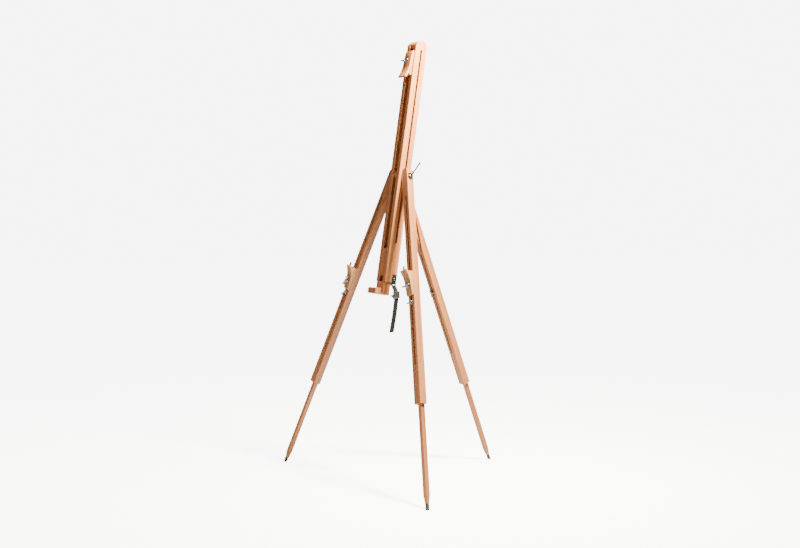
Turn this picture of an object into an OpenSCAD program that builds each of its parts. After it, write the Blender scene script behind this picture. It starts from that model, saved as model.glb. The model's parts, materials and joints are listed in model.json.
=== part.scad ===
// Wooden artist easel: a slotted two-cheek mast on a tripod of telescopic legs.
// One cross bolt with a lever clamp grips the mast and all three legs.
// Frame: millimetres, +Z up, floor at Z = 0, front of the easel toward -Y, X = 0 through the mast.
// Each sub-part is drawn in the frame of the piece that carries it (mast, front leg, rear leg), at rest.

/* [Stance] */
// Height of the main cross bolt above the floor
head_height = 1143; // [900:1:1400]
// Sideways distance from the middle to a front foot
foot_side = 465; // [300:1:600]
// Distance of the front feet in front of the main bolt
foot_front = 239; // [120:1:350]
// Distance of the rear foot behind the main bolt
foot_back = 458; // [300:2:600]

/* [Mast] */
// Mast length above the main bolt
mast_up = 533; // [400:1:700]
// Mast length below the main bolt
mast_down = 402; // [350:1:600]
// Backward lean of the mast in degrees
mast_lean = 9.4; // [0:0.1:20]
// Width of the mast over both cheeks
mast_width = 58; // [48:1:80]
// Depth of the mast, front to back
mast_depth = 53; // [40:1:70]
// Width of the open channel between the cheeks
channel_width = 21; // [16:0.5:28]
// Width of the slot through both cheeks
side_slot_width = 8; // [7:0.5:12]
// Height of the block that closes the channel at the top
top_block_height = 31; // [20:1:60]
// Height of the block that closes the channel near the bottom
bottom_block_height = 105; // [60:5:160]
// Channel left open below the bottom block
bottom_recess = 22; // [15:1:40]

/* [Legs] */
// Width of the hollow upper leg
leg_width = 34; // [32:1:48]
// Depth of the hollow upper leg
leg_depth = 30; // [24:1:40]
// Length of the upper leg below the main bolt
leg_upper = 877; // [700:1:1100]
// Length of the upper leg above the main bolt
leg_head = 33; // [22:1:45]
// Side of the square lower leg
stick = 17.5; // [14:0.5:22]
// How far the lower leg sits behind the middle of the upper leg
stick_set_back = 3; // [0:0.5:4]
// Distance of the right leg's lock bolt below the main bolt
lock_down_right = 506; // [400:1:650]
// Distance of the left leg's lock bolt below the main bolt
lock_down_left = 486; // [400:1:650]
// Distance of the rear leg's lock bolt below the main bolt
lock_down_rear = 473; // [470:1:650]
// Wood left solid below the leg slot
slot_foot = 140; // [80:5:200]
// Width of the slot in the front of each leg
leg_slot_width = 7; // [6.5:0.5:10]
// Angle to the mast at which the rear leg's shoulders lie flat on it
nest_angle = 8; // [6:0.5:15]

/* [Canvas holders] */
// Width of the top clamp block
clamp_width = 44; // [30:1:58]
// Distance of the top clamp's bolt below the top of the mast
clamp_down = 86; // [60:1:200]
// Thickness of the top clamp's straight part
clamp_thick = 14; // [14:1:30]
// Forward reach of the top clamp's lip
clamp_reach = 30; // [26:1:50]
// Width of the leg brackets
bracket_width = 32; // [24:1:37]
// Thickness of a bracket's straight part
bracket_thick = 13; // [10:1:24]
// Forward reach of a bracket's lip
bracket_reach = 33; // [24:1:50]
// Height of the left bracket's bolt above the leg lock bolt
bracket_rise_left = 50; // [44:1:100]
// Height of the right bracket's bolt above the leg lock bolt
bracket_rise_right = 61; // [44:1:100]
// Width of the bottom ledge
ledge_width = 48; // [36:1:58]
// Height of the bottom ledge's block
ledge_height = 51; // [35:1:80]
// Height of the bottom ledge's front lip
ledge_lip_height = 23; // [15:1:40]
// Depth of the bottom ledge's front lip
ledge_lip_depth = 26; // [12:1:40]
// Width of the groove that holds the canvas
ledge_groove = 10.5; // [8:0.5:30]

/* [Hardware] */
// Diameter of the main cross bolt
bolt_diameter = 7.4; // [6:0.1:8]
// Diameter of the smaller clamping bolts
stud_diameter = 6; // [5:0.1:6.4]
// Diameter of the main clamp's hub
hub_diameter = 22; // [18:1:30]
// Length of the main clamp's lever
lever_length = 64; // [50:1:90]
// Span over the wings of the bracket and clamp nuts
nut_span = 45; // [36:1:54]
// Span over the wings of the leg lock nuts
lock_nut_span = 32; // [26:1:38]
// Width of the strap
strap_width = 20; // [15:1:25]

/* [Hidden] */
$fn = 48;

// clearances
slide = 0.3;        // wood that slides on wood, each side
run = 0.05;         // radial clearance of a turning fit
fit = 0.05;         // radial room round a bolt in its own body

// derived places
head_y = (foot_front - foot_back) / 2;
washer_thick = 0.6;
washer_room = 0.2;
bevel_x = mast_width / 2 + 4 * washer_room + washer_thick;
pivot_x = bevel_x + leg_width / 2;
front_length = sqrt(pow(foot_side - pivot_x, 2) + pow(foot_front, 2) + pow(head_height, 2));
splay = asin((foot_side - pivot_x) / front_length);
front_tilt = atan(foot_front / head_height);
rear_length = sqrt(pow(foot_back, 2) + pow(head_height, 2));
rear_tilt = atan(foot_back / head_height);

bolt_r = bolt_diameter / 2;
stud_r = stud_diameter / 2;
hub_stand = 10;
hub_x = pivot_x + hub_stand;
hub_length = 12;
cap_length = 7;
washer_r = 12;
barrel_r = 7.5;
fold_stop = 17;

wood_edge = 1.4;
mast_front = -mast_depth / 2;
mast_back = mast_depth / 2;
leg_front = -leg_depth / 2;
leg_back = leg_depth / 2;

hollow = stick + 2 * slide;
glue = 0.1;
stick_over = 22;
stick_taper = 38;
foot_length = 20;
foot_r = 7;
slot_top = 70;
rear_hollow_top = 300;
slot_bottom = leg_upper - slot_foot;
tongue_width = channel_width - 2 * slide;

plate_thick = 4;
nut_bore_r = stud_r + run;

clamp_z = mast_up - clamp_down;
ledge_top = -mast_down;
ledge_bottom = ledge_top - ledge_height;
ledge_web = 5;
ledge_back = 4;
ledge_bolt_y = 14;
ledge_bolt_z = ledge_top + 12;
ledge_bolt_r = 3;

strap_thick = 2.4;
strap_x = mast_width / 2;

// where the strap's tail runs, after it leaves its end piece: out in X, back in Y, down in Z
strap_route = [
    [0, 0, 0], [2.2, 0.2, -6], [6.4, 0.4, -12], [10.8, 0.6, -19], [14.4, 0.8, -27], [16.2, 1.0, -36],
    [16.3, 1.0, -46], [14.9, 0.9, -57], [12.6, 0.8, -69], [10.2, 0.6, -82], [7.8, 0.4, -96],
    [5.0, 0.2, -110], [1.8, 0, -124], [-1.9, -0.2, -138], [-5.6, -0.4, -152],
    [-9.0, -0.6, -166], [-12.0, -0.8, -180]
];

wood = [0.76, 0.50, 0.31];
wood_dark = [0.66, 0.41, 0.25];
steel = [0.72, 0.73, 0.75];
rubber = [0.10, 0.10, 0.10];
webbing = [0.08, 0.08, 0.09];

// ---------- frames ----------

module mast_frame() {
    translate([0, head_y, head_height]) rotate([-mast_lean, 0, 0]) children();
}

module front_frame() {
    translate([pivot_x, head_y, head_height]) rotate([-front_tilt, 0, 0]) rotate([0, -splay, 0]) children();
}

module rear_frame() {
    translate([0, head_y, head_height]) rotate([rear_tilt, 0, 0]) children();
}

module bolt_frame() {
    translate([0, head_y, head_height]) rotate([0, 90, 0]) children();
}

module left_side() {
    mirror([1, 0, 0]) children();
}

// ---------- shapes ----------

module edged_rect(width, depth, edge) {
    x = width / 2;
    y = depth / 2;
    polygon([
        [x - edge, -y], [x, -y + edge], [x, y - edge], [x - edge, y],
        [-x + edge, y], [-x, y - edge], [-x, -y + edge], [-x + edge, -y]
    ]);
}

// a bar that stands on Z from low to high, with broken edges
module bar(width, depth, low, high, edge = wood_edge) {
    translate([0, 0, low]) linear_extrude(high - low) edged_rect(width, depth, edge);
}

// all that lies under a half-round top, seen from the side
module round_top(width, depth, low, high) {
    r = depth / 2;
    translate([0, 0, high - r]) rotate([0, 90, 0]) cylinder(r = r, h = width + 2, center = true);
    translate([-width / 2 - 1, -r - 1, low - 1]) cube([width + 2, depth + 2, high - r - low + 1]);
}

// a slot cut along Z, through the given depth of Y
module slot_y(width, low, high, front, back) {
    r = width / 2;
    translate([-r, front, low + r]) cube([width, back - front, high - low - width]);
    for (z = [low + r, high - r])
        translate([0, back, z]) rotate([90, 0, 0]) cylinder(r = r, h = back - front);
}

// a slot cut along Z, through the given span of X
module slot_x(width, low, high, left, right) {
    r = width / 2;
    translate([left, -r, low + r]) cube([right - left, width, high - low - width]);
    for (z = [low + r, high - r])
        translate([left, 0, z]) rotate([0, 90, 0]) cylinder(r = r, h = right - left);
}

// a round hole or rod on Y
module rod_y(r, front, back) {
    translate([0, back, 0]) rotate([90, 0, 0]) cylinder(r = r, h = back - front);
}

// a canvas holder seen from the side: back on Y = 0, foot down, swept lip up, V-shaped notch behind the lip
module holder_side(thick, reach, foot, neck, lip, notch, notch_at) {
    sweep = [
        for (k = [0:0.125:1])
            [-thick - (reach - thick) * pow(k, 1.7), neck + (lip - 3 - neck) * k]
    ];
    polygon(concat(
        [[0, -foot], [-thick * 0.62 + 2, -foot], [-thick * 0.62, -foot + 3], [-thick * 0.8, -foot * 0.4]],
        sweep,
        [[-reach + 2, lip], [-reach + 9, lip], [-notch_at, notch], [-notch_at + 7, notch + 6], [0, notch + 6]]
    ));
}

// the holder's body, as wide as given in X
module holder_block(width, thick, reach, foot, neck, lip, notch, notch_at) {
    translate([-width / 2, 0, 0]) rotate([90, 0, 90]) linear_extrude(width)
        holder_side(thick, reach, foot, neck, lip, notch, notch_at);
}

// a wing nut on Y: base at Y = 0, wings toward -Y
module wing_nut(span) {
    hub_r = span * 0.16;
    wing = span / 2;
    difference() {
        union() {
            rod_y(hub_r + 1.2, -2, 0);
            rod_y(hub_r, -9, -1);
            intersection() {
                translate([-wing, -16, -1.7]) cube([span, 14.5, 3.4]);
                union() {
                    for (s = [-1, 1]) {
                        translate([s * wing * 0.66, -9.5, -3]) cylinder(r = wing * 0.34, h = 6);
                        translate([s * wing * 0.36, -6.5, -3]) cylinder(r = wing * 0.28, h = 6);
                    }
                }
            }
        }
        rod_y(nut_bore_r, -20, 2);
    }
}

// ---------- head ----------

module main_bolt() {
    color(steel) bolt_frame() translate([0, 0, -hub_x + 0.5])
        cylinder(r = bolt_r, h = 2 * hub_x + hub_length + 2);
}

module bolt_cap() {
    color(steel) bolt_frame() difference() {
        union() {
            translate([0, 0, -hub_x - 2]) cylinder(r = hub_diameter / 2, h = 2);
            translate([0, 0, -hub_x - cap_length])
                cylinder(r1 = hub_diameter / 2 - 4, r2 = hub_diameter / 2 - 2, h = cap_length - 2);
        }
        translate([0, 0, -hub_x + 0.5]) cylinder(r = bolt_r, h = 20);
    }
}

module clamp_hub() {
    color(steel) bolt_frame() difference() {
        union() {
            translate([0, 0, hub_x]) cylinder(r = hub_diameter / 2, h = 3);
            translate([0, 0, hub_x + 3]) cylinder(r = hub_diameter / 2 - 2, h = hub_length - 3);
        }
        translate([0, 0, hub_x - 1]) cylinder(r = bolt_r + run, h = hub_length + 2);
    }
}

// the lever leans out, back and up from the hub
lever_back = 29;
lever_out = 20;

module lever_axis() {
    translate([hub_x + hub_length - 5, head_y, head_height])
        rotate([-lever_back, 0, 0]) rotate([0, lever_out, 0]) children();
}

module clamp_lever() {
    color(steel) difference() {
        lever_axis() {
            cylinder(r = 2.4, h = lever_length);
            translate([0, 0, lever_length]) sphere(r = 3.2);
        }
        bolt_frame() translate([0, 0, hub_x - 5]) cylinder(r = hub_diameter / 2 - 2, h = hub_length + 5);
    }
}

module tilt_washer() {
    color(steel) bolt_frame() translate([0, 0, mast_width / 2 + washer_room]) difference() {
        cylinder(r = washer_r, h = washer_thick);
        translate([0, 0, -1]) cylinder(r = bolt_r + run, h = washer_thick + 2);
    }
}

module washer_right() { tilt_washer(); }
module washer_left() { left_side() tilt_washer(); }

// ---------- mast ----------

module mast_solid() {
    intersection() {
        bar(mast_width, mast_depth, -mast_down, mast_up);
        round_top(mast_width, mast_depth, -mast_down, mast_up);
    }
}

module ledge_bolt_hole() {
    translate([-mast_width, ledge_bolt_y, ledge_bolt_z]) rotate([0, 90, 0])
        cylinder(r = ledge_bolt_r + fit, h = 2 * mast_width);
}

side_slot_low = -mast_down + 147;
side_slot_high = mast_up - 36;

// the glued joints across a cheek, one at each end of its slot
module scarf_lines() {
    for (z = [side_slot_low + side_slot_width / 2, side_slot_high - side_slot_width / 2])
        translate([-mast_width, -mast_depth, z]) cube([2 * mast_width, 2 * mast_depth, glue]);
}

module cheek_right() {
    color(wood) mast_frame() difference() {
        mast_solid();
        translate([-mast_width, -mast_depth, -mast_down - 1])
            cube([mast_width + channel_width / 2, 2 * mast_depth, mast_down + mast_up + 2]);
        slot_x(side_slot_width, side_slot_low, side_slot_high, 0, mast_width);
        scarf_lines();
        ledge_bolt_hole();
    }
}

module cheek_left() {
    color(wood) mast_frame() difference() {
        left_side() mast_solid();
        translate([-channel_width / 2, -mast_depth, -mast_down - 1])
            cube([mast_width + channel_width / 2, 2 * mast_depth, mast_down + mast_up + 2]);
        slot_x(side_slot_width, side_slot_low, side_slot_high, -mast_width, 0);
        scarf_lines();
        ledge_bolt_hole();
    }
}

module top_block() {
    color(wood_dark) mast_frame() intersection() {
        translate([-channel_width / 2, mast_front + 1, mast_up - top_block_height])
            cube([channel_width, mast_depth - 2, top_block_height + 1]);
        round_top(mast_width, mast_depth, -mast_down, mast_up);
    }
}

module bottom_block() {
    color(wood_dark) mast_frame()
        translate([-channel_width / 2, mast_front + 1, -mast_down + bottom_recess])
            cube([channel_width, mast_depth - 2, bottom_block_height]);
}

module ledge() {
    lip_back = mast_front - ledge_groove;
    lip_front = lip_back - ledge_lip_depth;
    lip_top = ledge_bottom + ledge_lip_height;
    color(wood) mast_frame() difference() {
        union() {
            translate([-ledge_width / 2, 0, 0]) rotate([90, 0, 90]) linear_extrude(ledge_width) polygon([
                [lip_front + 2, ledge_bottom], [ledge_back, ledge_bottom], [ledge_back, ledge_top],
                [mast_front, ledge_top], [mast_front, ledge_bottom + ledge_web],
                [lip_back, ledge_bottom + ledge_web], [lip_back, lip_top - 2], [lip_back - 2, lip_top],
                [lip_front + 2, lip_top], [lip_front, lip_top - 2], [lip_front, ledge_bottom + 2]
            ]);
            translate([-channel_width / 2, 2, ledge_top - 12])
                cube([channel_width, mast_back - 3, bottom_recess + 12]);
        }
        ledge_bolt_hole();
    }
}

module ledge_bolt() {
    head_x = mast_width / 2 + strap_thick;
    color(steel) mast_frame() translate([0, ledge_bolt_y, ledge_bolt_z]) rotate([0, 90, 0]) {
        translate([0, 0, -mast_width / 2 - 2])
            cylinder(r = ledge_bolt_r, h = head_x + mast_width / 2 + 2.5);
        translate([0, 0, head_x]) cylinder(r = 5.2, h = 3);
        translate([0, 0, -mast_width / 2 - 3]) cylinder(r = 5.2, h = 3);
    }
}

// ---------- strap ----------

module strap_end() {
    color(webbing) mast_frame() difference() {
        translate([strap_x, ledge_bolt_y - strap_width / 2, ledge_top - 8])
            cube([strap_thick, strap_width, 38]);
        ledge_bolt_hole();
    }
}

// the middle of the strap end's lower edge, worked out from the mast's lean
strap_start_y = head_y + ledge_bolt_y * cos(mast_lean) + (ledge_top - 8) * sin(mast_lean);
strap_start_z = head_height - ledge_bolt_y * sin(mast_lean) + (ledge_top - 8) * cos(mast_lean);
strap_start = [strap_x + strap_thick / 2, strap_start_y, strap_start_z - 1.9];

function unit(v) = v / norm(v);
function route_dir(i) = unit(strap_route[min(i + 1, len(strap_route) - 1)] - strap_route[max(i - 1, 0)]);
function strap_ring(i) = let (
    p = strap_start + strap_route[i],
    d = route_dir(i),
    n = unit([-d[2], 0, d[0]]),
    t = strap_thick / 2,
    w = strap_width / 2
) [
    for (q = [[1, 0.86], [0.6, 1], [-0.6, 1], [-1, 0.86], [-1, -0.86], [-0.6, -1], [0.6, -1], [1, -0.86]])
        p + q[0] * t * n + q[1] * w * [0, 1, 0]
];

module strap_tail() {
    count = len(strap_route);
    points = [for (i = [0:count - 1]) each strap_ring(i)];
    sides = [
        for (i = [0:count - 2], k = [0:7])
            [i * 8 + k, i * 8 + (k + 1) % 8, (i + 1) * 8 + (k + 1) % 8, (i + 1) * 8 + k]
    ];
    ends = [[for (k = [7:-1:0]) k], [for (k = [0:7]) (count - 1) * 8 + k]];
    color(webbing) polyhedron(points, concat(sides, ends));
}

// the ladder buckle, through whose window the tail runs
buckle_place = strap_start + strap_route[5];
buckle_thick = 8;
buckle_height = 26;

module strap_buckle() {
    color(steel) translate(buckle_place) difference() {
        translate([-buckle_thick / 2, -strap_width / 2 - 3, -buckle_height / 2])
            cube([buckle_thick, strap_width + 6, buckle_height]);
        translate([-2.6, -strap_width / 2 - 0.3, -buckle_height / 2 - 1])
            cube([5.2, strap_width + 0.6, buckle_height + 2]);
    }
}

// the short free tongue that comes back in under the buckle
module strap_return() {
    color(webbing) translate(buckle_place + [-buckle_thick / 2 + 1, 0, -buckle_height / 2 - 2.5])
        rotate([0, 35, 0]) translate([-24, -strap_width / 2, -strap_thick / 2])
            cube([24, strap_width, strap_thick]);
}

// ---------- top clamp ----------

clamp_face = mast_front - slide;
nut_seat = 0.4;
clamp_lip = 67;

module top_clamp() {
    color(wood) mast_frame() translate([0, clamp_face, clamp_z]) difference() {
        union() {
            mirror([0, 0, 1])
                holder_block(clamp_width, clamp_thick, clamp_reach, 40, 15, clamp_lip, 49, clamp_thick);
            translate([-tongue_width / 2, -1, -40]) cube([tongue_width, 13, 70]);
        }
        rod_y(stud_r + fit, -60, 60);
    }
}

module top_clamp_bolt() {
    color(steel) mast_frame() translate([0, 0, clamp_z]) {
        rod_y(stud_r, clamp_face - clamp_thick - 13, mast_back + slide + plate_thick + 1);
        rod_y(7, mast_back + slide + plate_thick, mast_back + slide + plate_thick + 3);
    }
}

module top_clamp_plate() {
    color(wood_dark) mast_frame() translate([0, mast_back + slide, clamp_z]) difference() {
        translate([-20, 0, -24]) cube([40, plate_thick, 48]);
        rod_y(stud_r + fit, -5, 20);
    }
}

module top_clamp_nut() {
    color(steel) mast_frame() translate([0, clamp_face - clamp_thick - nut_seat, clamp_z])
        wing_nut(nut_span);
}

// ---------- telescopic legs ----------

// a front leg's bar, with its head rounded as seen from the front
module front_bar() {
    r = leg_width / 2;
    intersection() {
        bar(leg_width, leg_depth, -leg_upper, leg_head);
        union() {
            translate([0, 0, leg_head - r]) rod_y(r, -leg_depth, leg_depth);
            translate([-r - 1, -leg_depth, -leg_upper - 1])
                cube([leg_width + 2, 2 * leg_depth, leg_upper + 1 + leg_head - r]);
        }
    }
}

// the joints between the four boards of a leg's sleeve, and between them and its head block
module glue_lines(top) {
    for (x = [-hollow / 2 - glue, hollow / 2])
        translate([x, -leg_depth, -leg_upper - 1]) cube([glue, 2 * leg_depth, leg_upper + 1 - top]);
    translate([-leg_width, -leg_depth, -top]) cube([2 * leg_width, 2 * leg_depth, glue]);
}

// the rear leg's bar, with its head rounded as seen from the side
module rear_bar() {
    intersection() {
        bar(leg_width, leg_depth, -leg_upper, leg_head);
        round_top(leg_width, leg_depth, -leg_upper, leg_head);
    }
}

module leg_hollow(top) {
    translate([-hollow / 2, stick_set_back - hollow / 2, -leg_upper - 1])
        cube([hollow, hollow, leg_upper + 1 - top]);
    slot_y(leg_slot_width, -slot_bottom, -top - 8, leg_front - 1, stick_set_back);
}

module front_leg() {
    color(wood) difference() {
        front_frame() difference() {
            front_bar();
            leg_hollow(slot_top);
            glue_lines(slot_top);
            // blind hole for the barrel, from the back, and the flared way for the main bolt
            rod_y(barrel_r + run, -8, leg_depth);
            translate([0, -bolt_r - 0.5, -11]) cube([leg_width, 2 * bolt_r + 1, 15.5]);
            translate([-leg_width, -bolt_r - 0.5, -4.5]) cube([leg_width, 2 * bolt_r + 1, 15.5]);
            translate([0, 0, 20]) rod_y(2.5 + fit, leg_front - 1, leg_front + 6);
            // the seat of the hub, cut for the leg at rest and folded
            for (turn = [0, fold_stop])
                rotate([0, splay - turn, 0]) translate([hub_stand - slide, 0, 0]) rotate([0, 90, 0])
                    cylinder(r = hub_diameter / 2 + 1.5, h = 30);
        }
        // bevel that lies along the mast
        translate([-200, head_y - 200, head_height - 200]) cube([200 + bevel_x, 400, 400]);
    }
}

module front_barrel() {
    color(steel) front_frame() difference() {
        rod_y(barrel_r, -7.7, leg_back - 1);
        rotate([0, splay, 0]) rotate([0, 90, 0]) cylinder(r = bolt_r + run, h = 60, center = true);
    }
}

module front_leg_pin() {
    color(wood_dark) front_frame() translate([0, 0, 20]) rod_y(2.5, leg_front - 0.2, leg_front + 5.5);
}

module lower_stick(length, lock) {
    low = -(length - foot_length);
    color(wood) difference() {
        translate([0, stick_set_back, 0]) intersection() {
            bar(stick, stick, low, stick_over - lock, 1.2);
            union() {
                translate([0, 0, low]) cylinder(r1 = foot_r + 0.2, r2 = stick * 0.72, h = stick_taper);
                translate([-stick, -stick, low + stick_taper]) cube([2 * stick, 2 * stick, length]);
            }
        }
        translate([0, 0, -lock]) rod_y(stud_r + fit, -40, 40);
    }
}

module foot(length) {
    translate([0, stick_set_back, -length - 10])
        cylinder(r1 = foot_r - 0.6, r2 = foot_r, h = foot_length + 10);
}

module above_floor() {
    difference() {
        children();
        translate([-1000, -1000, -100]) cube([2000, 2000, 100]);
    }
}

module lock_bolt(lock) {
    color(steel) translate([0, 0, -lock]) rod_y(stud_r, leg_front - 12, stick_set_back + stick / 2 - 1);
}

module lock_nut(lock, turn) {
    color(steel) translate([0, leg_front - slide, -lock]) rotate([0, turn, 0]) wing_nut(lock_nut_span);
}

module right_leg() { front_leg(); }
module right_leg_pin() { front_leg_pin(); }
module right_barrel() { front_barrel(); }
module right_stick() { front_frame() lower_stick(front_length, lock_down_right); }
module right_foot() { color(rubber) above_floor() front_frame() foot(front_length); }
module right_lock_bolt() { front_frame() lock_bolt(lock_down_right); }
module right_lock_nut() { front_frame() lock_nut(lock_down_right, 5); }

module left_leg() { left_side() front_leg(); }
module left_leg_pin() { left_side() front_leg_pin(); }
module left_barrel() { left_side() front_barrel(); }
module left_stick() { left_side() front_frame() lower_stick(front_length, lock_down_left); }
module left_foot() { left_side() color(rubber) above_floor() front_frame() foot(front_length); }
module left_lock_bolt() { left_side() front_frame() lock_bolt(lock_down_left); }
module left_lock_nut() { left_side() front_frame() lock_nut(lock_down_left, 60); }

// ---------- rear leg ----------

module rear_leg() {
    color(wood) rear_frame() difference() {
        rear_bar();
        leg_hollow(rear_hollow_top);
        glue_lines(rear_hollow_top);
        rotate([0, 90, 0]) cylinder(r = bolt_r + run, h = leg_width + 4, center = true);
        // shoulders cut back to a tongue that fits the mast's channel
        for (s = [0, 1]) mirror([s, 0, 0]) rotate([-nest_angle, 0, 0])
            translate([tongue_width / 2, -90, -700]) cube([leg_width, 90 + mast_back + slide, 800]);
    }
}

module rear_stick() { rear_frame() lower_stick(rear_length, lock_down_rear); }
module rear_foot() { color(rubber) above_floor() rear_frame() foot(rear_length); }
module rear_lock_bolt() { rear_frame() lock_bolt(lock_down_rear); }
module rear_lock_nut() { rear_frame() lock_nut(lock_down_rear, 90); }

// ---------- leg brackets ----------

bracket_face = leg_front - slide;

right_bracket_down = lock_down_right - bracket_rise_right;
left_bracket_down = lock_down_left - bracket_rise_left;
bracket_lip = 60;
peg_r = 4;
peg_y = -bracket_reach + 6;

module bracket_at(down) {
    front_frame() translate([0, bracket_face, -down]) children();
}

module bracket(down) {
    color(wood) bracket_at(down) difference() {
        union() {
            holder_block(
                bracket_width, bracket_thick, bracket_reach, 34, 8, bracket_lip, bracket_lip - 10, 19
            );
            translate([-leg_slot_width / 2 + slide, -1, -20]) cube([leg_slot_width - 2 * slide, 6, 40]);
        }
        rod_y(stud_r + fit, -60, 40);
        translate([0, peg_y, bracket_lip - 10]) cylinder(r = peg_r + fit, h = 30);
    }
}

module bracket_bolt(down) {
    tip = leg_depth / 2 + stick_set_back + stick / 2 - 2;
    color(steel) bracket_at(down) rod_y(stud_r, -bracket_thick - 13, tip);
}

module bracket_plate(down) {
    front = leg_depth / 2 + stick_set_back - hollow / 2 + 2 * slide;
    color(steel) bracket_at(down) difference() {
        translate([-8.5, front, -9]) cube([17, 6, 18]);
        rod_y(stud_r + fit, -5, front + 20);
    }
}

module bracket_peg(down) {
    color(steel) bracket_at(down) translate([0, peg_y, bracket_lip - 9]) cylinder(r = peg_r, h = 25);
}

module bracket_nut(down, turn) {
    color(steel) bracket_at(down) translate([0, -bracket_thick - nut_seat, 0]) rotate([0, turn, 0])
        wing_nut(nut_span);
}

module right_bracket() { bracket(right_bracket_down); }
module right_bracket_bolt() { bracket_bolt(right_bracket_down); }
module right_bracket_plate() { bracket_plate(right_bracket_down); }
module right_bracket_peg() { bracket_peg(right_bracket_down); }
module right_bracket_nut() { bracket_nut(right_bracket_down, 0); }

module left_bracket() { left_side() bracket(left_bracket_down); }
module left_bracket_bolt() { left_side() bracket_bolt(left_bracket_down); }
module left_bracket_plate() { left_side() bracket_plate(left_bracket_down); }
module left_bracket_peg() { left_side() bracket_peg(left_bracket_down); }
module left_bracket_nut() { left_side() bracket_nut(left_bracket_down, 75); }

// ---------- what is drawn ----------

main_bolt();
bolt_cap();
clamp_hub();
clamp_lever();
washer_left();
washer_right();
cheek_left();
cheek_right();
top_block();
bottom_block();
ledge();
ledge_bolt();
strap_end();
strap_buckle();
strap_return();
strap_tail();
top_clamp();
top_clamp_bolt();
top_clamp_plate();
top_clamp_nut();
right_barrel();
right_leg();
right_leg_pin();
right_stick();
right_foot();
right_lock_bolt();
right_lock_nut();
right_bracket();
right_bracket_bolt();
right_bracket_plate();
right_bracket_peg();
right_bracket_nut();
left_barrel();
left_leg();
left_leg_pin();
left_stick();
left_foot();
left_lock_bolt();
left_lock_nut();
left_bracket();
left_bracket_bolt();
left_bracket_plate();
left_bracket_peg();
left_bracket_nut();
rear_leg();
rear_stick();
rear_foot();
rear_lock_bolt();
rear_lock_nut();
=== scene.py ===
# %% [markdown]
# # A wooden tripod easel
# The imported model gives every piece at its real size and place, in metres.
# This script dresses it: it sets the camera, hangs the strap, makes the wood,
# the steel and the rubber, and swaps plain hardware for pieces with real shape.
# Nothing here moves an imported piece.

# %% Load the imported easel
import json
import math
import bpy
import bmesh
from mathutils import Euler, Matrix, Vector

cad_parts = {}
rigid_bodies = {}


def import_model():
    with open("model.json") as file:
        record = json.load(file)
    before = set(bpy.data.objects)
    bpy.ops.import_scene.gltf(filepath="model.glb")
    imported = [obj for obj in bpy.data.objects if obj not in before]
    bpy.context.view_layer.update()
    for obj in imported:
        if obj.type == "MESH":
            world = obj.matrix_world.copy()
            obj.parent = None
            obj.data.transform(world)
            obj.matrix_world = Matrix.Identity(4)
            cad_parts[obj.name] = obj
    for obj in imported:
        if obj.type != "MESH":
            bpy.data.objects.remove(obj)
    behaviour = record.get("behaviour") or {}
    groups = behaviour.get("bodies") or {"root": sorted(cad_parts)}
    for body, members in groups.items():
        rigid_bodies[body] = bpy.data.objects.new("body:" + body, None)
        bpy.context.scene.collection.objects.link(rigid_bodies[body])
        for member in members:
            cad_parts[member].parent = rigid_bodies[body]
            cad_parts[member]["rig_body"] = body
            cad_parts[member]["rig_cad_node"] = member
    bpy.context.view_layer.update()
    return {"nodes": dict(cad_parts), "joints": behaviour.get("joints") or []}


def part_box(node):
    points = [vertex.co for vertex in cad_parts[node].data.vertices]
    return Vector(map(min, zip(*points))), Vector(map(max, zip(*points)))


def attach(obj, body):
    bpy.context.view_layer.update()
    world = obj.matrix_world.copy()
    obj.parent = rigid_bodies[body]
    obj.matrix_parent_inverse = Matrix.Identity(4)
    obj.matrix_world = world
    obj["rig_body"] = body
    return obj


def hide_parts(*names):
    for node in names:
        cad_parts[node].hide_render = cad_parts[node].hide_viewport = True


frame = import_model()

# %% [markdown]
# ## Where things are
# A few directions are used again and again: the way the mast leans, and the way
# each leg points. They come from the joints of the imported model, so they follow
# it if a size changes. The cross bolt is the centre of it all.

# %% Directions of mast and legs
MM = 0.001
RIGHT = Vector((1, 0, 0))
UP = Vector((0, 0, 1))
JOINTS = {joint["name"]: joint for joint in frame["joints"]}

def joint_axis(name):
    return Vector(JOINTS[name]["axis"]).normalized()

def joint_place(name):
    return Vector(JOINTS[name]["pos_m"])

def middle(node):
    low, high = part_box(node)
    return (Vector(low) + Vector(high)) / 2

BOLT = joint_place("mast_tilt")
MAST_UP = joint_axis("mast_height")
MAST_FRONT = joint_axis("canvas_clamp_nut_turn")
SIDES = ("right", "left", "rear")
LEG_DOWN = {side: joint_axis(f"{side}_leg_length") for side in SIDES}
LEG_FRONT = {side: joint_axis(f"{side}_lock_nut_turn") for side in SIDES}
print("bolt at", [round(v, 4) for v in BOLT], "mast leans", round(math.degrees(math.asin(MAST_UP.y)), 2))

# %% [markdown]
# ## The camera
# An easel is tall and thin, so the camera stands well back, about four metres
# away, at table height, and a normal lens keeps the legs from spreading. It
# looks from the front right, where the slots, nuts and lever all show.

# %% Camera
CAMERA_TURN = math.radians(52.92)
CAMERA_TILT = math.radians(1.95)
CAMERA_AWAY = 3.880
CAMERA_HEIGHT = 0.907

lens = bpy.data.cameras.new("easel_camera")
lens.sensor_width = 36
lens.lens = 45.55
camera = bpy.data.objects.new("easel_camera", lens)
bpy.context.scene.collection.objects.link(camera)
camera.location = (
    BOLT.x + CAMERA_AWAY * math.sin(CAMERA_TURN),
    BOLT.y - CAMERA_AWAY * math.cos(CAMERA_TURN),
    CAMERA_HEIGHT,
)
camera.rotation_euler = (math.pi / 2 - CAMERA_TILT, 0, CAMERA_TURN)
bpy.context.scene.camera = camera

# %% [markdown]
# ## Helpers for modelling
# Blender's operators act on whatever is selected, so every step first selects
# one object alone. A modifier is applied at once, so a finished piece is a plain
# mesh. Each piece ends with its place in its mesh, a name, a body and a finish.

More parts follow.
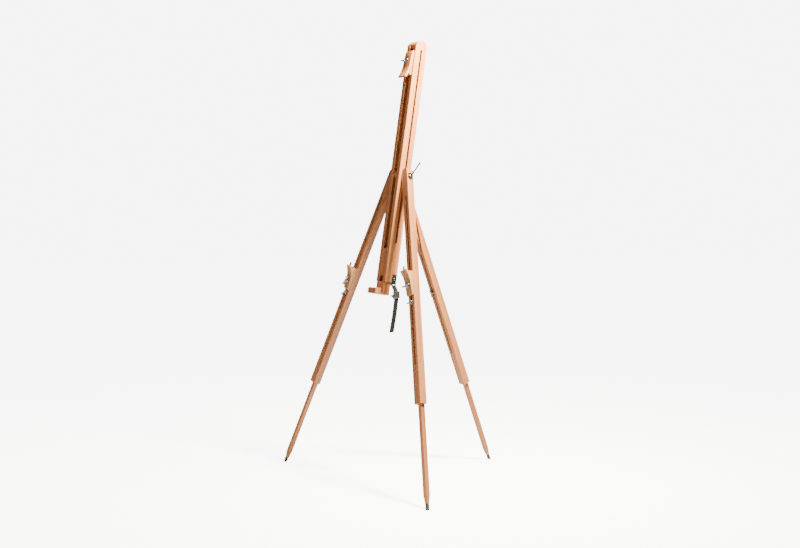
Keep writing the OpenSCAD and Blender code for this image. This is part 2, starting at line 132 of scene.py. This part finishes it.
# %% Selecting and finishing
def only(piece):
    bpy.ops.object.select_all(action="DESELECT")
    piece.select_set(True)
    bpy.context.view_layer.objects.active = piece

def new_piece():
    bpy.ops.object.select_all(action="DESELECT")

def apply_modifier(piece, kind, **values):
    only(piece)
    modifier = piece.modifiers.new(kind.lower(), kind)
    for name, value in values.items():
        setattr(modifier, name, value)
    bpy.ops.object.modifier_apply(modifier=modifier.name)

def smooth(piece, degrees=35):
    only(piece)
    bpy.ops.object.shade_smooth_by_angle(angle=math.radians(degrees))

def face_outward(piece):
    only(piece)
    bpy.ops.object.mode_set(mode="EDIT")
    bpy.ops.mesh.select_all(action="SELECT")
    bpy.ops.mesh.remove_doubles(threshold=0.00001)
    bpy.ops.mesh.normals_make_consistent(inside=False)
    bpy.ops.object.mode_set(mode="OBJECT")

def settle(piece):
    only(piece)
    bpy.ops.object.transform_apply(location=True, rotation=True, scale=True)

def dress(piece, name, body, finish, stands_for=()):
    settle(piece)
    piece.name = name
    piece.data.name = name
    piece.data.materials.clear()
    piece.data.materials.append(finish)
    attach(piece, body)
    if stands_for:
        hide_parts(*stands_for)
    return piece

def standing_at(place, along, across=RIGHT):
    """A matrix that puts the origin at place, Z along one direction and X near another."""
    z = Vector(along).normalized()
    x = (Vector(across) - z * Vector(across).dot(z)).normalized()
    y = z.cross(x)
    return Matrix((
        (x.x, y.x, z.x, place[0]),
        (x.y, y.y, z.y, place[1]),
        (x.z, y.z, z.z, place[2]),
        (0, 0, 0, 1),
    ))

# %% [markdown]
# ## Building finishes from nodes
# Every finish is a small tree of nodes. These helpers add a node, wire it and
# set its values in one line each, which keeps the recipes below readable.

# %% Helpers for nodes
def start_finish(name):
    finish = bpy.data.materials.new(name)
    finish.use_nodes = True
    nodes = finish.node_tree.nodes
    return finish, nodes, finish.node_tree.links, nodes["Principled BSDF"]

def add_node(nodes, kind, **values):
    node = nodes.new(kind)
    for name, value in values.items():
        if name in node.inputs:
            node.inputs[name].default_value = value
        else:
            setattr(node, name, value)
    return node

def set_inputs(node, values):
    for name, value in values.items():
        node.inputs[name].default_value = value
    return node

def colour_steps(nodes, steps):
    ramp = nodes.new("ShaderNodeValToRGB")
    points = ramp.color_ramp.elements
    while len(points) < len(steps):
        points.new(0.5)
    for point, (place, colour) in zip(points, steps):
        point.position = place
        point.color = (*colour, 1) if len(colour) == 3 else colour
    return ramp

# %% [markdown]
# ## Webbing
# The strap is woven from coarse black yarn. Each yarn crosses over and under the
# next, so two sets of waves, one along and one across the band, are multiplied.
# They follow the band's own UV map, so the weave bends with it.

# %% Webbing finish
def webbing_finish(name, yarns_along, yarns_across):
    finish, nodes, links, shader = start_finish(name)
    place = nodes.new("ShaderNodeUVMap")
    waves = []
    for axis, count in (("X", yarns_across), ("Y", yarns_along)):
        wave = add_node(nodes, "ShaderNodeTexWave", wave_type="BANDS", bands_direction=axis)
        set_inputs(wave, {"Scale": count / 6.283 * 2.0, "Distortion": 0.3, "Detail": 1.0})
        links.new(place.outputs["UV"], wave.inputs["Vector"])
        waves.append(wave)
    weave = add_node(nodes, "ShaderNodeMath", operation="MULTIPLY")
    links.new(waves[0].outputs["Fac"], weave.inputs[0])
    links.new(waves[1].outputs["Fac"], weave.inputs[1])
    wear = nodes.new("ShaderNodeTexNoise")
    set_inputs(wear, {"Scale": 9.0, "Detail": 3.0})
    links.new(place.outputs["UV"], wear.inputs["Vector"])
    blend = add_node(nodes, "ShaderNodeMath", operation="MULTIPLY_ADD")
    blend.inputs[1].default_value = 0.35
    links.new(wear.outputs["Fac"], blend.inputs[0])
    links.new(weave.outputs[0], blend.inputs[2])
    ramp = colour_steps(nodes, [
        (0.1, (0.0015, 0.0015, 0.002)), (0.6, (0.006, 0.006, 0.007)), (1.0, (0.016, 0.016, 0.018)),
    ])
    links.new(blend.outputs[0], ramp.inputs["Fac"])
    links.new(ramp.outputs["Color"], shader.inputs["Base Color"])
    bump = nodes.new("ShaderNodeBump")
    set_inputs(bump, {"Strength": 0.6, "Distance": 0.0003})
    links.new(weave.outputs[0], bump.inputs["Height"])
    links.new(bump.outputs["Normal"], shader.inputs["Normal"])
    set_inputs(shader, {"Roughness": 0.9, "Specular IOR Level": 0.2})
    set_inputs(shader, {"Sheen Weight": 0.03, "Sheen Roughness": 0.5})
    return finish

WEBBING = webbing_finish("strap_webbing_tail", 90, 9)
WEBBING_END = webbing_finish("strap_webbing_end", 20, 9)

# %% [markdown]
# ## The strap's tail
# The strap that ties the folded easel hangs from the foot of the mast. It leaves
# the bolt, bulges outward where its buckle is threaded, and hangs down under its
# own weight. It is a flat band, so it starts as a long grid whose columns are
# laid on the route, and a Solidify modifier gives it its thickness.

# %% Route and band
STRAP_WIDTH = 20 * MM
STRAP_THICK = 2.4 * MM
LEDGE_BOLT_BACK = 14 * MM
STRAP_TOP_DROP = 410 * MM
ROUTE_STEPS = [
    (0, 0, 0), (2.2, 0.2, -6), (6.4, 0.4, -12), (10.8, 0.6, -19), (14.4, 0.8, -27), (16.2, 1.0, -36),
    (16.3, 1.0, -46), (14.9, 0.9, -57), (12.6, 0.8, -69), (10.2, 0.6, -82), (7.8, 0.4, -96),
    (5.0, 0.2, -110), (1.8, 0, -124), (-1.9, -0.2, -138), (-5.6, -0.4, -152),
    (-9.0, -0.6, -166), (-12.0, -0.8, -180),
]
strap_low, strap_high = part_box("strap_end")
strap_start = BOLT - MAST_FRONT * LEDGE_BOLT_BACK - MAST_UP * STRAP_TOP_DROP
strap_start.x = (strap_low[0] + strap_high[0]) / 2
strap_start.z -= 1.9 * MM
ROUTE = [strap_start + Vector(step) * MM for step in ROUTE_STEPS]

def along_route(points, count):
    """Points spread evenly in number along a smooth curve through the route."""
    found = []
    for index in range(count + 1):
        t = index / count * (len(points) - 1)
        k = min(int(t), len(points) - 2)
        u = t - k
        a, b = points[max(k - 1, 0)], points[k]
        c, d = points[k + 1], points[min(k + 2, len(points) - 1)]
        bend = (2 * a - 5 * b + 4 * c - d) * u * u
        twist = (3 * b - a - 3 * c + d) * u ** 3
        found.append(0.5 * (2 * b + (c - a) * u + bend + twist))
    return found

STRAP_ROWS = 96
strap_path = along_route(ROUTE, STRAP_ROWS)

new_piece()
bpy.ops.mesh.primitive_grid_add(x_subdivisions=8, y_subdivisions=STRAP_ROWS, size=1)
strap_tail = bpy.context.object
for vertex in strap_tail.data.vertices:
    row = round((vertex.co.y + 0.5) * STRAP_ROWS)
    vertex.co = strap_path[row] + Vector((0, vertex.co.x * STRAP_WIDTH, 0))
apply_modifier(strap_tail, "SOLIDIFY", thickness=STRAP_THICK, offset=0)
apply_modifier(
    strap_tail, "BEVEL", width=0.6 * MM, segments=2, limit_method="ANGLE", angle_limit=math.radians(50),
)
face_outward(strap_tail)
smooth(strap_tail, 50)
dress(strap_tail, "strap_tail_band", "mast", WEBBING, ["strap_tail"])

# %% [markdown]
# ## Oiled beech
# Beech is pinkish brown with fine straight grain and short dark flecks, and oil
# deepens it. The grain always runs along a piece, so a first Mapping node turns
# the pattern until the piece's length is Z, and a second one stretches it along
# that length. Broad bands, fine streaks and flecks are mixed, each at its scale.

# %% Wood finish
def wood_finish(name, along, seed, light=(0.50, 0.190, 0.062), dark=(0.27, 0.078, 0.023)):
    finish, nodes, links, shader = start_finish(name)
    place = nodes.new("ShaderNodeTexCoord")
    turn = nodes.new("ShaderNodeMapping")
    turn.inputs["Rotation"].default_value = Vector(along).rotation_difference(UP).to_euler()
    turn.inputs["Location"].default_value = (seed * 0.37, seed * 0.73, seed * 1.19)
    links.new(place.outputs["Object"], turn.inputs["Vector"])

    def stretched(across, length, detail, rough=0.55, distort=0.0):
        scale = nodes.new("ShaderNodeMapping")
        scale.inputs["Scale"].default_value = (across, across, length)
        links.new(turn.outputs["Vector"], scale.inputs["Vector"])
        noise = nodes.new("ShaderNodeTexNoise")
        set_inputs(noise, {"Scale": 1.0, "Detail": detail, "Roughness": rough, "Distortion": distort})
        links.new(scale.outputs["Vector"], noise.inputs["Vector"])
        return noise.outputs["Fac"]

    bands = stretched(45, 1.3, 3.0, distort=0.6)
    streaks = stretched(420, 5.0, 4.0)
    flecks = stretched(1500, 160, 1.0)
    mixed = add_node(nodes, "ShaderNodeMix", data_type="FLOAT")
    mixed.inputs["Factor"].default_value = 0.42
    links.new(bands, mixed.inputs["A"])
    links.new(streaks, mixed.inputs["B"])
    middle_wood = tuple((a + b) / 2 for a, b in zip(light, dark))
    ramp = colour_steps(nodes, [(0.34, dark), (0.5, middle_wood), (0.66, light)])
    links.new(mixed.outputs["Result"], ramp.inputs["Fac"])
    fleck_mask = colour_steps(nodes, [(0.60, (0, 0, 0)), (0.70, (1, 1, 1))])
    links.new(flecks, fleck_mask.inputs["Fac"])
    fleck_share = add_node(nodes, "ShaderNodeMath", operation="MULTIPLY")
    fleck_share.inputs[1].default_value = 0.45
    links.new(fleck_mask.outputs["Color"], fleck_share.inputs[0])
    colour = add_node(nodes, "ShaderNodeMix", data_type="RGBA")
    links.new(fleck_share.outputs[0], colour.inputs["Factor"])
    links.new(ramp.outputs["Color"], colour.inputs[6])
    colour.inputs[7].default_value = (*(v * 0.45 for v in dark), 1)
    links.new(colour.outputs[2], shader.inputs["Base Color"])
    gloss = nodes.new("ShaderNodeMapRange")
    set_inputs(gloss, {"From Min": 0.3, "From Max": 0.7, "To Min": 0.36, "To Max": 0.55})
    links.new(streaks, gloss.inputs["Value"])
    links.new(gloss.outputs["Result"], shader.inputs["Roughness"])
    bump = nodes.new("ShaderNodeBump")
    set_inputs(bump, {"Strength": 0.25, "Distance": 0.0003})
    links.new(mixed.outputs["Result"], bump.inputs["Height"])
    links.new(bump.outputs["Normal"], shader.inputs["Normal"])
    set_inputs(shader, {"Coat Weight": 0.12, "Coat Roughness": 0.35})
    return finish

# %% [markdown]
# Each board is cut from its own plank, so each gets its own shift of the grain.
# The mast and legs keep the imported meshes, whose edges are already broken, and
# only take the finish. The clamp block and brackets are drawn a shade paler, which is painted fill light on
# the same beech.

# %% Wood on the long pieces
def coat(node, finish):
    piece = frame["nodes"][node]
    piece.data.materials.clear()
    piece.data.materials.append(finish)

GRAIN = {
    "cheek_left": MAST_UP, "cheek_right": MAST_UP, "top_block": MAST_UP, "bottom_block": MAST_UP,
    "right_leg": LEG_DOWN["right"], "right_stick": LEG_DOWN["right"],
    "left_leg": LEG_DOWN["left"], "left_stick": LEG_DOWN["left"],
    "rear_leg": LEG_DOWN["rear"], "rear_stick": LEG_DOWN["rear"],
}
for seed, (node, along) in enumerate(GRAIN.items(), start=1):
    coat(node, wood_finish(f"beech_{node}", along, seed))

# %% [markdown]
# ## Steel and rubber
# The bolts and nuts are zinc-plated steel, satin with faint mottling. A bolt's
# thread is too fine to model, so it is a bump of fine rings along its length.

# %% Steel finishes
def steel_finish(name, colour=(0.36, 0.34, 0.36), rough=(0.24, 0.40), thread_along=None):
    finish, nodes, links, shader = start_finish(name)
    place = nodes.new("ShaderNodeTexCoord")
    noise = nodes.new("ShaderNodeTexNoise")
    set_inputs(noise, {"Scale": 260.0, "Detail": 4.0})
    links.new(place.outputs["Object"], noise.inputs["Vector"])
    tint = colour_steps(nodes, [(0.3, tuple(v * 0.72 for v in colour)), (0.7, colour)])
    links.new(noise.outputs["Fac"], tint.inputs["Fac"])
    links.new(tint.outputs["Color"], shader.inputs["Base Color"])
    gloss = nodes.new("ShaderNodeMapRange")
    set_inputs(gloss, {"From Min": 0.3, "From Max": 0.7, "To Min": rough[0], "To Max": rough[1]})
    links.new(noise.outputs["Fac"], gloss.inputs["Value"])
    links.new(gloss.outputs["Result"], shader.inputs["Roughness"])
    bump = nodes.new("ShaderNodeBump")
    if thread_along is None:
        set_inputs(bump, {"Strength": 0.15, "Distance": 0.0002})
        links.new(noise.outputs["Fac"], bump.inputs["Height"])
    else:
        turn = nodes.new("ShaderNodeMapping")
        turn.inputs["Rotation"].default_value = Vector(thread_along).rotation_difference(UP).to_euler()
        links.new(place.outputs["Object"], turn.inputs["Vector"])
        rings = add_node(nodes, "ShaderNodeTexWave", wave_type="BANDS", wave_profile="TRI")
        rings.bands_direction = "Z"
        set_inputs(rings, {"Scale": 314.0})
        links.new(turn.outputs["Vector"], rings.inputs["Vector"])
        set_inputs(bump, {"Strength": 0.8, "Distance": 0.0004})
        links.new(rings.outputs["Fac"], bump.inputs["Height"])
    links.new(bump.outputs["Normal"], shader.inputs["Normal"])
    shader.inputs["Metallic"].default_value = 1.0
    return finish

STEEL = steel_finish("zinc_steel")
DARK_STEEL = steel_finish("dark_steel", (0.17, 0.17, 0.18), (0.22, 0.36))
PEG_STEEL = steel_finish("dull_peg", (0.22, 0.20, 0.16), (0.45, 0.6))
THREAD = {side: steel_finish(f"thread_{side}", thread_along=LEG_FRONT[side]) for side in SIDES}
THREAD["mast"] = steel_finish("thread_mast", thread_along=MAST_FRONT)
THREAD["cross"] = steel_finish("thread_cross", thread_along=RIGHT)

for kind in ("washer_{}", "{}_barrel", "{}_bracket_plate"):
    for side in ("left", "right"):
        coat(kind.format(side), STEEL)
coat("main_bolt", THREAD["cross"])
coat("top_clamp_bolt", THREAD["mast"])
for side in SIDES:
    coat(f"{side}_lock_bolt", THREAD[side])
for side in ("right", "left"):
    coat(f"{side}_bracket_bolt", THREAD[side])

# %% Rubber finish
def rubber_finish(name):
    finish, nodes, links, shader = start_finish(name)
    place = nodes.new("ShaderNodeTexCoord")
    grain = nodes.new("ShaderNodeTexNoise")
    set_inputs(grain, {"Scale": 900.0, "Detail": 3.0})
    links.new(place.outputs["Object"], grain.inputs["Vector"])
    dust = nodes.new("ShaderNodeTexNoise")
    set_inputs(dust, {"Scale": 70.0, "Detail": 4.0})
    links.new(place.outputs["Object"], dust.inputs["Vector"])
    ramp = colour_steps(nodes, [(0.35, (0.012, 0.012, 0.013)), (0.8, (0.05, 0.046, 0.04))])
    links.new(dust.outputs["Fac"], ramp.inputs["Fac"])
    links.new(ramp.outputs["Color"], shader.inputs["Base Color"])
    bump = nodes.new("ShaderNodeBump")
    set_inputs(bump, {"Strength": 0.3, "Distance": 0.0002})
    links.new(grain.outputs["Fac"], bump.inputs["Height"])
    links.new(bump.outputs["Normal"], shader.inputs["Normal"])
    set_inputs(shader, {"Roughness": 0.75})
    return finish

RUBBER = rubber_finish("foot_rubber_worn")

# %% [markdown]
# ## Blocks with eased edges
# A maker rounds the edges of anything that hands touch: the ledge, the clamp
# block, the brackets, the plates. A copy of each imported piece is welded, its
# flat faces are joined, and only its long edges are bevelled, so that round
# bolt holes stay round.

# %% Easing the edges of a copy
LONG_EDGE = 5 * MM

def eased_copy(node, width, shortest=LONG_EDGE, segments=3):
    new_piece()
    piece = frame["nodes"][node].copy()
    piece.data = piece.data.copy()
    piece.parent = None
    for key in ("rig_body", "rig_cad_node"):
        if key in piece:
            del piece[key]
    bpy.context.scene.collection.objects.link(piece)
    only(piece)
    bpy.ops.object.mode_set(mode="EDIT")
    bpy.ops.mesh.select_all(action="SELECT")
    bpy.ops.mesh.remove_doubles(threshold=0.000005)
    bpy.ops.mesh.dissolve_limited(angle_limit=math.radians(1))
    bpy.ops.object.mode_set(mode="OBJECT")
    shape = bmesh.new()
    shape.from_mesh(piece.data)
    weight = shape.edges.layers.float.new("bevel_weight_edge")
    eased = 0
    for edge in shape.edges:
        if edge.calc_length() > shortest and edge.is_manifold and edge.calc_face_angle() > math.radians(30):
            edge[weight] = 1.0
            eased += 1
    shape.to_mesh(piece.data)
    shape.free()
    apply_modifier(
        piece, "BEVEL", width=width, segments=segments, limit_method="WEIGHT", use_clamp_overlap=True,
    )
    smooth(piece, 30)
    print(node, "edges eased:", eased)
    return piece

# Painted fill light: the same beech, given a paler, yellower tone as if the fill lit these pieces more.
PAINTED_FILL_LIGHT_TONE = {"light": (0.50, 0.235, 0.090), "dark": (0.31, 0.125, 0.042)}
EASED = [
    ("ledge", "mast", MAST_UP, 1.6 * MM, {}), ("top_clamp", "canvas_clamp", MAST_UP, 2.2 * MM, {}),
    ("top_clamp_plate", "canvas_clamp", RIGHT, 1.0 * MM, PAINTED_FILL_LIGHT_TONE),
    ("right_bracket", "right_holder", LEG_DOWN["right"], 2.2 * MM, PAINTED_FILL_LIGHT_TONE),
    ("left_bracket", "left_holder", LEG_DOWN["left"], 2.2 * MM, PAINTED_FILL_LIGHT_TONE),
]
for seed, (node, body, along, width, tone) in enumerate(EASED, start=20):
    dress(eased_copy(node, width), f"{node}_eased", body,
          wood_finish(f"beech_{node}", along, seed, **tone), [node])

# %% [markdown]
# ## The strap's end, return and buckle
# The band is folded and stitched round the bolt at the foot of the mast. The
# buckle is a pressed steel frame, and the band's short end comes back under it.

# %% Strap end and buckle
def unwrap(piece):
    only(piece)
    bpy.ops.object.mode_set(mode="EDIT")
    bpy.ops.mesh.select_all(action="SELECT")
    bpy.ops.uv.cube_project(cube_size=STRAP_WIDTH)
    bpy.ops.object.mode_set(mode="OBJECT")

for node in ("strap_end", "strap_return"):
    band = eased_copy(node, 0.8 * MM)
    unwrap(band)
    dress(band, f"{node}_band", "mast", WEBBING_END, [node])
buckle = eased_copy("strap_buckle", 1.1 * MM)
dress(buckle, "strap_buckle_frame", "mast", STEEL, ["strap_buckle"])

# %% [markdown]
# ## Turned pieces
# Bolt heads, the clamp's hub, its lever and the feet are all round. Each starts
# as a disc, and the end face is extruded and resized ring by ring, which is how
# one would turn it on a lathe. The profile is a list of radius and height.

# %% Turning a profile
def turned(profile, rings=32):
    new_piece()
    radius, height = profile[0]
    bpy.ops.mesh.primitive_circle_add(
        vertices=rings, radius=radius, fill_type="NGON", location=(0, 0, height),
    )
    piece = bpy.context.object
    settle(piece)
    bpy.ops.object.mode_set(mode="EDIT")
    bpy.ops.mesh.select_all(action="SELECT")
    for radius_next, height_next in profile[1:]:
        bpy.ops.mesh.extrude_region_move(TRANSFORM_OT_translate={"value": (0, 0, height_next - height)})
        ratio = radius_next / radius
        bpy.ops.transform.resize(value=(ratio, ratio, 1))
        radius, height = radius_next, height_next
    bpy.ops.object.mode_set(mode="OBJECT")
    face_outward(piece)
    smooth(piece, 30)
    return piece

def place_piece(piece, place, along, across=RIGHT):
    piece.matrix_world = standing_at(place, along, across)
    settle(piece)
    return piece

def domed(radius, rise, start, steps=5):
    """The rings of a shallow dome that starts at a height."""
    smallest = 0.4 * MM
    angles = [k / steps * math.pi / 2 for k in range(steps + 1)]
    return [(max(radius * math.cos(a), smallest), start + rise * math.sin(a)) for a in angles]

# %% [markdown]
# ## The clamp at the head
# One bolt goes through both front legs, the mast and the rear leg. On the left
# it ends in a domed cap, on the right in the hub of the lever that pulls it
# tight. The lever leans up and back, clear of the leg.

# %% Cap, hub and lever
cap_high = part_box("bolt_cap")[1]
cap = turned([(11 * MM, 0), (11 * MM, 1.6 * MM), (10.4 * MM, 2.2 * MM), *domed(9.2 * MM, 4.6 * MM, 2.4 * MM)])
place_piece(cap, (cap_high[0] - 0.5 * MM, BOLT.y, BOLT.z), -RIGHT, UP)
dress(cap, "bolt_cap_domed", "head", STEEL, ["bolt_cap"])

hub_low, hub_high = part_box("clamp_hub")
hub = turned([
    (10.4 * MM, 0), (11 * MM, 0.6 * MM), (11 * MM, 2.6 * MM), (10.4 * MM, 3.2 * MM), (9.0 * MM, 3.4 * MM),
    (9.0 * MM, 9.6 * MM), (8.2 * MM, 10.8 * MM), (7.0 * MM, 11.5 * MM), (4.4 * MM, 11.9 * MM),
])
place_piece(hub, (hub_low[0], BOLT.y, BOLT.z), RIGHT, UP)
dress(hub, "clamp_hub_turned", "main_clamp", DARK_STEEL, ["clamp_hub"])

LEVER_BACK = math.radians(29)
LEVER_OUT = math.radians(20)
LEVER_LENGTH = 64 * MM
lever_way = Euler((-LEVER_BACK, 0, 0)).to_matrix() @ Euler((0, LEVER_OUT, 0)).to_matrix() @ UP
lever_root = Vector((hub_high[0] - 5 * MM, BOLT.y, BOLT.z))
lever = turned([
    (3.2 * MM, 6 * MM), (3.0 * MM, 12 * MM), (2.8 * MM, 30 * MM), (2.8 * MM, LEVER_LENGTH - 8 * MM),
    (3.0 * MM, LEVER_LENGTH - 3 * MM), (3.2 * MM, LEVER_LENGTH - 0.5 * MM),
    *domed(3.2 * MM, 3 * MM, LEVER_LENGTH),
], 20)
place_piece(lever, lever_root, lever_way)
dress(lever, "clamp_lever_rod", "main_clamp", DARK_STEEL, ["clamp_lever"])

# %% [markdown]
# ## Bolt heads, pins and pegs
# The bolt at the mast's foot has a low domed head on each side. Each front leg
# has a wooden pin in its head, and each bracket carries a short steel peg.

# %% Small turned pieces
bolt_low, bolt_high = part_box("ledge_bolt")
bolt_middle = middle("ledge_bolt")
bolt_span = bolt_high[0] - bolt_low[0]
shank = turned([
    (3 * MM, 0), (3 * MM, bolt_span - 4 * MM), *domed(5.2 * MM, 2.4 * MM, bolt_span - 2.6 * MM),
], 24)
place_piece(shank, (bolt_low[0] + 0.1 * MM, bolt_middle.y, bolt_middle.z), RIGHT, UP)
head = turned([(5.2 * MM, 0), *domed(5.2 * MM, 2.4 * MM, 0.6 * MM)], 24)
place_piece(head, (bolt_low[0] + 3.0 * MM, bolt_middle.y, bolt_middle.z), -RIGHT, UP)
only(shank)
head.select_set(True)
bpy.ops.object.join()
dress(shank, "ledge_bolt_domed", "mast", DARK_STEEL, ["ledge_bolt"])

for side in ("right", "left"):
    front, down = LEG_FRONT[side], LEG_DOWN[side]
    pin = turned([(2.5 * MM, -5 * MM), (2.5 * MM, -0.1 * MM), (2.2 * MM, 0.2 * MM)], 20)
    leg_head = middle(f"{side}_leg_pin") + front * 2.9 * MM
    place_piece(pin, leg_head, front)
    dress(pin, f"{side}_leg_pin_turned", f"{side}_upper",
          wood_finish(f"pin_{side}", front, 31, (0.20, 0.09, 0.04), (0.10, 0.04, 0.02)), [f"{side}_leg_pin"])
    peg = turned([
        (3.6 * MM, -12.5 * MM), (4.0 * MM, -12 * MM), (4.0 * MM, 8 * MM), *domed(4.0 * MM, 3.4 * MM, 9 * MM),
    ], 24)
    place_piece(peg, middle(f"{side}_bracket_peg"), -down)
    dress(peg, f"{side}_bracket_peg_domed", f"{side}_holder", PEG_STEEL, [f"{side}_bracket_peg"])

# %% [markdown]
# ## Feet
# Each leg ends in a small rubber ferrule with a lip at its top and two grooves.
# It is turned straight, set on the leg's line, and cut flat by the floor with a
# bisect, because a foot stands on its worn edge.

# %% Ferrules
for side in SIDES:
    down = LEG_DOWN[side]
    foot_middle = middle(f"{side}_foot")
    foot = turned([
        (6.4 * MM, -0.5 * MM), (7.0 * MM, 0.2 * MM), (7.0 * MM, 3 * MM), (6.6 * MM, 3.6 * MM),
        (6.6 * MM, 5 * MM), (6.9 * MM, 5.6 * MM), (6.85 * MM, 9 * MM), (6.4 * MM, 9.6 * MM),
        (6.4 * MM, 11 * MM), (6.75 * MM, 11.6 * MM), (6.6 * MM, 20 * MM), (6.4 * MM, 30 * MM),
    ], 28)
    place_piece(foot, foot_middle - down * 10 * MM, down)
    only(foot)
    bpy.ops.object.mode_set(mode="EDIT")
    bpy.ops.mesh.select_all(action="SELECT")
    bpy.ops.mesh.bisect(plane_co=(0, 0, 0.0002), plane_no=(0, 0, 1), clear_inner=True, use_fill=True)
    bpy.ops.object.mode_set(mode="OBJECT")
    face_outward(foot)
    smooth(foot, 35)
    dress(foot, f"{side}_foot_ferrule", f"{side}_lower", RUBBER, [f"{side}_foot"])

# %% [markdown]
# ## Wing nuts
# A wing nut is cast in one piece: a cone with a flange, and two ears that flow
# out of it. The parts are modelled as overlapping solids, a voxel remesh fuses
# them, and a smoothing pass rounds the joins the way casting sand does. One nut
# of each size is made and copied.

# %% One cast nut
def cast_nut(span, voxel):
    hub = span * 0.16
    wing = span / 2
    new_piece()
    core = turned([
        (hub + 1.0 * MM, 0), (hub + 1.2 * MM, 0.4 * MM), (hub + 1.2 * MM, 1.6 * MM), (hub, 2.2 * MM),
        (hub * 0.92, 7.4 * MM), (hub * 0.72, 9.0 * MM),
    ])
    parts = [core]
    for way in (-1, 1):
        inner_lobe = (0.36, 6.5 * MM, wing * 0.28, 4.0 * MM)
        outer_lobe = (0.62, 8.9 * MM, wing * 0.33, 3.0 * MM)
        for out, high, radius, thick in (inner_lobe, outer_lobe):
            new_piece()
            bpy.ops.mesh.primitive_cylinder_add(
                vertices=28, radius=radius, depth=thick,
                location=(way * wing * out, 0, high), rotation=(math.pi / 2, 0, 0),
            )
            parts.append(bpy.context.object)
    only(core)
    for part in parts:
        part.select_set(True)
    bpy.ops.object.join()
    nut = bpy.context.object
    settle(nut)
    apply_modifier(nut, "REMESH", mode="VOXEL", voxel_size=voxel, adaptivity=0.0)
    apply_modifier(nut, "SMOOTH", factor=0.5, iterations=5)
    only(nut)
    bpy.ops.object.shade_smooth()
    return nut

BIG_NUT = cast_nut(45 * MM, 0.55 * MM)
SMALL_NUT = cast_nut(32 * MM, 0.50 * MM)
print("nut faces:", len(BIG_NUT.data.polygons), len(SMALL_NUT.data.polygons))

# %% [markdown]
# The nuts stop where they bite, so each stands at its own angle. A nut's wings
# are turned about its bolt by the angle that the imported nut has.

# %% Placing the nuts
LEG_ACROSS = {side: LEG_FRONT[side].cross(LEG_DOWN[side]).normalized() for side in SIDES}
LOCK_GAP = 0.3 * MM
HOLDER_GAP = 0.7 * MM

def put_nut(pattern, node, body, joint, front, across, degrees, gap):
    nut = pattern.copy()
    nut.data = pattern.data.copy()
    bpy.context.scene.collection.objects.link(nut)
    wings = Matrix.Rotation(math.radians(degrees), 3, front) @ Vector(across)
    place_piece(nut, joint_place(joint) + front * gap, front, wings)
    dress(nut, f"{node}_cast", body, STEEL, [node])

put_nut(BIG_NUT, "top_clamp_nut", "canvas_clamp_nut", "canvas_clamp_nut_turn",
        MAST_FRONT, RIGHT, 0, HOLDER_GAP)
for side, holder_turn, lock_turn in (("right", 0, 5), ("left", 75, 60)):
    front, across = LEG_FRONT[side], LEG_ACROSS[side]
    put_nut(BIG_NUT, f"{side}_bracket_nut", f"{side}_holder_nut", f"{side}_holder_nut_turn",
            front, across, holder_turn, HOLDER_GAP)
    put_nut(SMALL_NUT, f"{side}_lock_nut", f"{side}_lock", f"{side}_lock_nut_turn",
            front, across, lock_turn, LOCK_GAP)
put_nut(SMALL_NUT, "rear_lock_nut", "rear_lock", "rear_lock_nut_turn",
        LEG_FRONT["rear"], LEG_ACROSS["rear"], 90, LOCK_GAP)
for pattern in (BIG_NUT, SMALL_NUT):
    bpy.data.objects.remove(pattern)

# %% [markdown]
# ## Floor and light
# A pale floor that runs out of sight and a bright white backdrop show the wood
# best. The backdrop and floor glow only to the eye, through a Light Path node,
# so that they look white and yet don't flood the easel with light. The key light
# hangs high on the right, so the sides of the wood shine most near the top and
# the fronts stay in shade; a weak fill keeps the shade readable.

# %% Floor
BACKDROP_GLOW = 7.0
AIR_LIGHT = 0.14

def seen_only(nodes, links, strength, target):
    """Wire a strength that counts for the eye alone into a socket."""
    path = nodes.new("ShaderNodeLightPath")
    level = add_node(nodes, "ShaderNodeMath", operation="MULTIPLY_ADD")
    level.inputs[1].default_value = strength[1] - strength[0]
    level.inputs[2].default_value = strength[0]
    links.new(path.outputs["Is Camera Ray"], level.inputs[0])
    links.new(level.outputs[0], target)

new_piece()
bpy.ops.mesh.primitive_plane_add(size=60, location=(0, 0, 0))
floor = bpy.context.object
floor.name = "studio_floor"
paint, nodes, links, shader = start_finish("studio_floor")
set_inputs(shader, {"Base Color": (0.8, 0.8, 0.8, 1), "Roughness": 0.9, "Emission Color": (1, 1, 1, 1)})
seen_only(nodes, links, (0.0, BACKDROP_GLOW), shader.inputs["Emission Strength"])
floor.data.materials.append(paint)

# %% Lights
def area_light(name, place, target, size, power, tint=(1, 1, 1)):
    data = bpy.data.lights.new(name, "AREA")
    data.shape = "DISK"
    data.size = size
    data.energy = power
    data.color = tint
    light = bpy.data.objects.new(name, data)
    light.location = place
    light.rotation_euler = (Vector(target) - Vector(place)).to_track_quat("-Z", "Y").to_euler()
    light.visible_camera = False
    bpy.context.scene.collection.objects.link(light)

area_light("key_light", (0.80, 0.1, 2.2), (0, 0, 1.2), 0.3, 300, (1.0, 0.95, 0.76))
area_light("fill_light", (-1.6, -4.0, 1.6), (0, 0, 0.7), 2.5, 30, (1.0, 0.90, 0.84))

world = bpy.data.worlds.new("studio_air")
world.use_nodes = True
air = world.node_tree.nodes
air["Background"].inputs["Color"].default_value = (1, 1, 1, 1)
seen_only(air, world.node_tree.links, (AIR_LIGHT, BACKDROP_GLOW), air["Background"].inputs["Strength"])
bpy.context.scene.world = world
